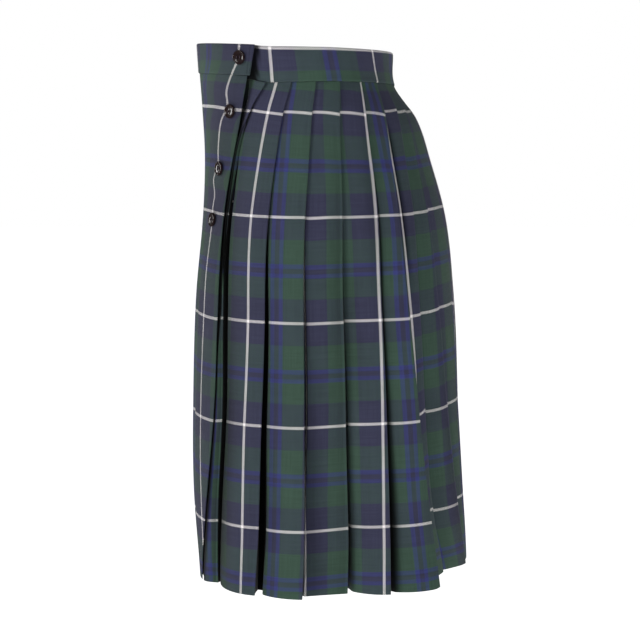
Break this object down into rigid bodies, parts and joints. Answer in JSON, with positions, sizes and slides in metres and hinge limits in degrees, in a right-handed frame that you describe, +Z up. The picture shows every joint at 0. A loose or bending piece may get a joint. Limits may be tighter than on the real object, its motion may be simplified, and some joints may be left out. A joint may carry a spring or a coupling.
{
  "type": "kilt skirt",
  "caption": "Knee-length wrapped kilt skirt in worn form: flat over and under aprons at the front, knife pleats round the back, a waistband and a row of buttons at the wearer's left.",
  "frame": {"origin": "middle of the waistband's ring, half way up the band, where the wearer's waist holds the skirt", "axes": "+Z up along the wearer, -Y the way the wearer faces, +X the wearer's left, where the skirt fastens"},
  "size_m": [0.3947, 0.303, 0.5688],
  "materials": {
    "tartan_wool": "matt twill wool, dark green, navy and blue checks with fine white lines",
    "dark_button": "glossy, very dark brown"
  },
  "bodies": {
    "root": {"over_apron": "tartan_wool", "under_apron": "tartan_wool", "pleats_left": "tartan_wool", "pleats_back": "tartan_wool", "pleats_right": "tartan_wool", "waistband": "tartan_wool", "button_1": "dark_button", "button_2": "dark_button", "button_3": "dark_button", "button_4": "dark_button"}
  },
  "joints": []
}
